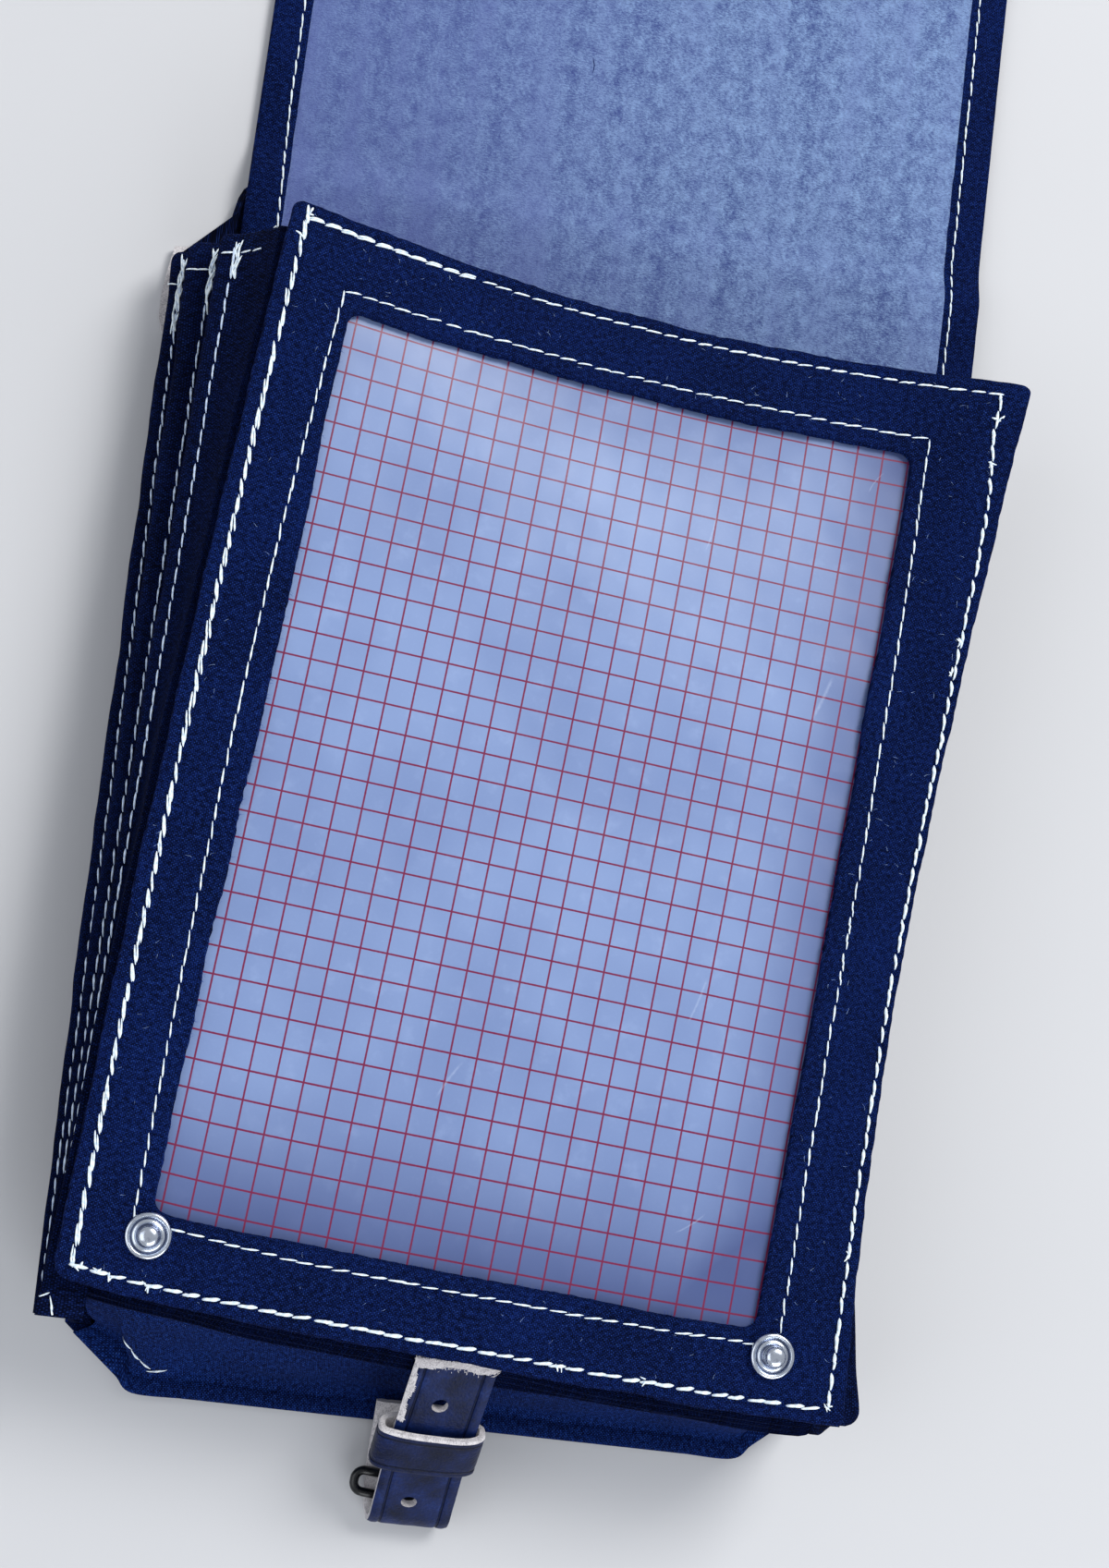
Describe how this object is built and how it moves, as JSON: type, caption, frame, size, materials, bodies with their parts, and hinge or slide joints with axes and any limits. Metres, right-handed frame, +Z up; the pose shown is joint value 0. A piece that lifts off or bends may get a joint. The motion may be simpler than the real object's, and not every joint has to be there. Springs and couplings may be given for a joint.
{
  "type": "map case",
  "caption": "Canvas map case lying open, with a clear gridded map window, stitched pleated pockets, lined flap, press studs and a leather closing strap.",
  "frame": {"origin": "middle of the case's overall plan, on the plane the case lies on", "axes": "+Z up out of the window, +Y from the case's foot towards the end of the open flap, +X to the right of the window seen from above"},
  "size_m": [0.2444, 0.693, 0.0589],
  "materials": {
    "canvas": "plain-woven navy cotton duck with pale stitching",
    "clear_film": "clear flexible film, slightly milky, printed with a fine red square grid",
    "pale_cloth": "pale blue cotton cloth",
    "brushed_lining": "mottled brushed nap",
    "bright_metal": "bright nickel plate",
    "leather": "smooth dark blue grain with pale raw edges",
    "black_wire": "black lacquered wire",
    "raw_leather": "raw grey flesh side"
  },
  "bodies": {
    "root": {"window_frame": "canvas", "map_window": "clear_film", "front_backing": "pale_cloth", "side_gusset_left": "canvas", "side_gusset_right": "canvas", "pocket_wall_rear": "canvas", "pocket_wall_middle": "canvas", "pocket_wall_front": "canvas", "bottom_gusset": "canvas", "back_panel": "canvas", "flap": "canvas", "flap_lining": "brushed_lining", "stud_left": "bright_metal", "stud_right": "bright_metal", "snap_socket_left": "bright_metal", "snap_socket_right": "bright_metal", "closing_strap": "leather", "strap_keeper": "leather", "buckle": "black_wire", "strap_tab_left": "raw_leather", "strap_tab_right": "raw_leather"}
  },
  "joints": []
}
